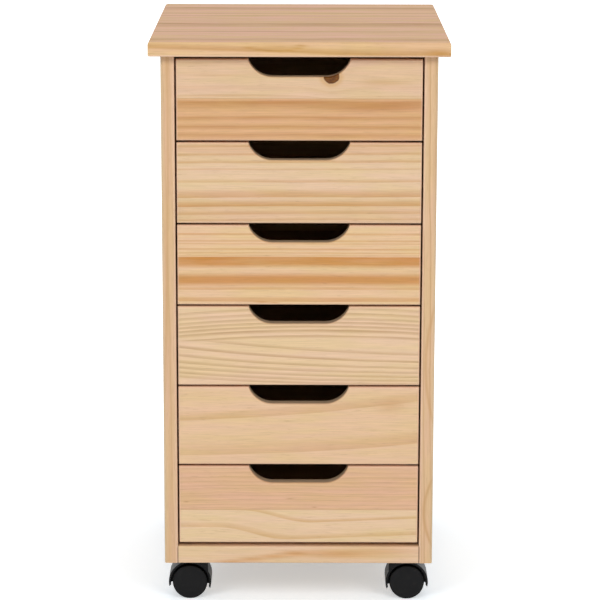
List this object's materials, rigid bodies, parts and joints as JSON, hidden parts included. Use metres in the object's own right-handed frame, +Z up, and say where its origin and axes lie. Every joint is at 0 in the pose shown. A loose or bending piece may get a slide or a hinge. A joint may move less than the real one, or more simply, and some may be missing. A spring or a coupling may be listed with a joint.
{
  "type": "rolling drawer cart",
  "caption": "Narrow solid pine cart with stacked drawers opened by finger cut-outs, rolling on hooded twin-wheel casters.",
  "frame": {"origin": "on the floor, under the centre of the top panel", "axes": "+Z up, +X to the right as seen from the front, drawers open towards -Y"},
  "size_m": [0.33, 0.39, 0.65],
  "materials": {
    "pine_case": "clear satin lacquer",
    "pine_drawer": "clear satin lacquer",
    "plywood": "bare sanded",
    "hardwood": "bare waxed",
    "steel": "zinc plated",
    "caster_plastic": "satin black",
    "wheel_plastic": "satin black"
  },
  "bodies": {
    "cabinet": {"top_panel": "pine_case", "left_side_panel": "pine_case", "right_side_panel": "pine_case", "back_panel": "plywood", "front_bottom_rail": "pine_case", "rear_bottom_rail": "pine_case", "left_drawer_runners": "hardwood", "right_drawer_runners": "hardwood", "caster_plates": "steel", "caster_kingpins": "steel"},
    "drawer_1": {"drawer_1_front": "pine_drawer", "drawer_1_left_side": "pine_drawer", "drawer_1_right_side": "pine_drawer", "drawer_1_back": "pine_drawer", "drawer_1_bottom": "plywood"},
    "drawer_2": {"drawer_2_front": "pine_drawer", "drawer_2_left_side": "pine_drawer", "drawer_2_right_side": "pine_drawer", "drawer_2_back": "pine_drawer", "drawer_2_bottom": "plywood"},
    "drawer_3": {"drawer_3_front": "pine_drawer", "drawer_3_left_side": "pine_drawer", "drawer_3_right_side": "pine_drawer", "drawer_3_back": "pine_drawer", "drawer_3_bottom": "plywood"},
    "drawer_4": {"drawer_4_front": "pine_drawer", "drawer_4_left_side": "pine_drawer", "drawer_4_right_side": "pine_drawer", "drawer_4_back": "pine_drawer", "drawer_4_bottom": "plywood"},
    "drawer_5": {"drawer_5_front": "pine_drawer", "drawer_5_left_side": "pine_drawer", "drawer_5_right_side": "pine_drawer", "drawer_5_back": "pine_drawer", "drawer_5_bottom": "plywood"},
    "drawer_6": {"drawer_6_front": "pine_drawer", "drawer_6_left_side": "pine_drawer", "drawer_6_right_side": "pine_drawer", "drawer_6_back": "pine_drawer", "drawer_6_bottom": "plywood"},
    "front_left_caster": {"front_left_caster_hood": "caster_plastic", "front_left_caster_axle": "steel"},
    "front_left_caster_front_wheel": {"front_left_caster_front_wheel": "wheel_plastic"},
    "front_left_caster_rear_wheel": {"front_left_caster_rear_wheel": "wheel_plastic"},
    "front_right_caster": {"front_right_caster_hood": "caster_plastic", "front_right_caster_axle": "steel"},
    "front_right_caster_front_wheel": {"front_right_caster_front_wheel": "wheel_plastic"},
    "front_right_caster_rear_wheel": {"front_right_caster_rear_wheel": "wheel_plastic"},
    "rear_left_caster": {"rear_left_caster_hood": "caster_plastic", "rear_left_caster_axle": "steel"},
    "rear_left_caster_front_wheel": {"rear_left_caster_front_wheel": "wheel_plastic"},
    "rear_left_caster_rear_wheel": {"rear_left_caster_rear_wheel": "wheel_plastic"},
    "rear_right_caster": {"rear_right_caster_hood": "caster_plastic", "rear_right_caster_axle": "steel"},
    "rear_right_caster_front_wheel": {"rear_right_caster_front_wheel": "wheel_plastic"},
    "rear_right_caster_rear_wheel": {"rear_right_caster_rear_wheel": "wheel_plastic"}
  },
  "joints": [
    {"name": "drawer_1_slide", "type": "slide", "parent": "cabinet", "child": "drawer_1", "axis": [0, -1, 0], "range_m": [0, 0.25]},
    {"name": "drawer_2_slide", "type": "slide", "parent": "cabinet", "child": "drawer_2", "axis": [0, -1, 0], "range_m": [0, 0.25]},
    {"name": "drawer_3_slide", "type": "slide", "parent": "cabinet", "child": "drawer_3", "axis": [0, -1, 0], "range_m": [0, 0.25]},
    {"name": "drawer_4_slide", "type": "slide", "parent": "cabinet", "child": "drawer_4", "axis": [0, -1, 0], "range_m": [0, 0.25]},
    {"name": "drawer_5_slide", "type": "slide", "parent": "cabinet", "child": "drawer_5", "axis": [0, -1, 0], "range_m": [0, 0.25]},
    {"name": "drawer_6_slide", "type": "slide", "parent": "cabinet", "child": "drawer_6", "axis": [0, -1, 0], "range_m": [0, 0.25]},
    {"name": "front_left_caster_swivel", "type": "hinge", "parent": "cabinet", "child": "front_left_caster", "pos_m": [-0.11, -0.13, 0.0512], "axis": [0, 0, 1], "continuous": true},
    {"name": "front_left_caster_front_wheel_spin", "type": "hinge", "parent": "front_left_caster", "child": "front_left_caster_front_wheel", "pos_m": [-0.125, -0.13, 0.02], "axis": [0, 1, 0], "continuous": true},
    {"name": "front_left_caster_rear_wheel_spin", "type": "hinge", "parent": "front_left_caster", "child": "front_left_caster_rear_wheel", "pos_m": [-0.125, -0.13, 0.02], "axis": [0, 1, 0], "continuous": true},
    {"name": "front_right_caster_swivel", "type": "hinge", "parent": "cabinet", "child": "front_right_caster", "pos_m": [0.11, -0.13, 0.0512], "axis": [0, 0, 1], "continuous": true},
    {"name": "front_right_caster_front_wheel_spin", "type": "hinge", "parent": "front_right_caster", "child": "front_right_caster_front_wheel", "pos_m": [0.125, -0.13, 0.02], "axis": [0, 1, 0], "continuous": true},
    {"name": "front_right_caster_rear_wheel_spin", "type": "hinge", "parent": "front_right_caster", "child": "front_right_caster_rear_wheel", "pos_m": [0.125, -0.13, 0.02], "axis": [0, 1, 0], "continuous": true},
    {"name": "rear_left_caster_swivel", "type": "hinge", "parent": "cabinet", "child": "rear_left_caster", "pos_m": [-0.11, 0.13, 0.0512], "axis": [0, 0, 1], "continuous": true},
    {"name": "rear_left_caster_front_wheel_spin", "type": "hinge", "parent": "rear_left_caster", "child": "rear_left_caster_front_wheel", "pos_m": [-0.125, 0.13, 0.02], "axis": [0, 1, 0], "continuous": true},
    {"name": "rear_left_caster_rear_wheel_spin", "type": "hinge", "parent": "rear_left_caster", "child": "rear_left_caster_rear_wheel", "pos_m": [-0.125, 0.13, 0.02], "axis": [0, 1, 0], "continuous": true},
    {"name": "rear_right_caster_swivel", "type": "hinge", "parent": "cabinet", "child": "rear_right_caster", "pos_m": [0.11, 0.13, 0.0512], "axis": [0, 0, 1], "continuous": true},
    {"name": "rear_right_caster_front_wheel_spin", "type": "hinge", "parent": "rear_right_caster", "child": "rear_right_caster_front_wheel", "pos_m": [0.125, 0.13, 0.02], "axis": [0, 1, 0], "continuous": true},
    {"name": "rear_right_caster_rear_wheel_spin", "type": "hinge", "parent": "rear_right_caster", "child": "rear_right_caster_rear_wheel", "pos_m": [0.125, 0.13, 0.02], "axis": [0, 1, 0], "continuous": true}
  ]
}
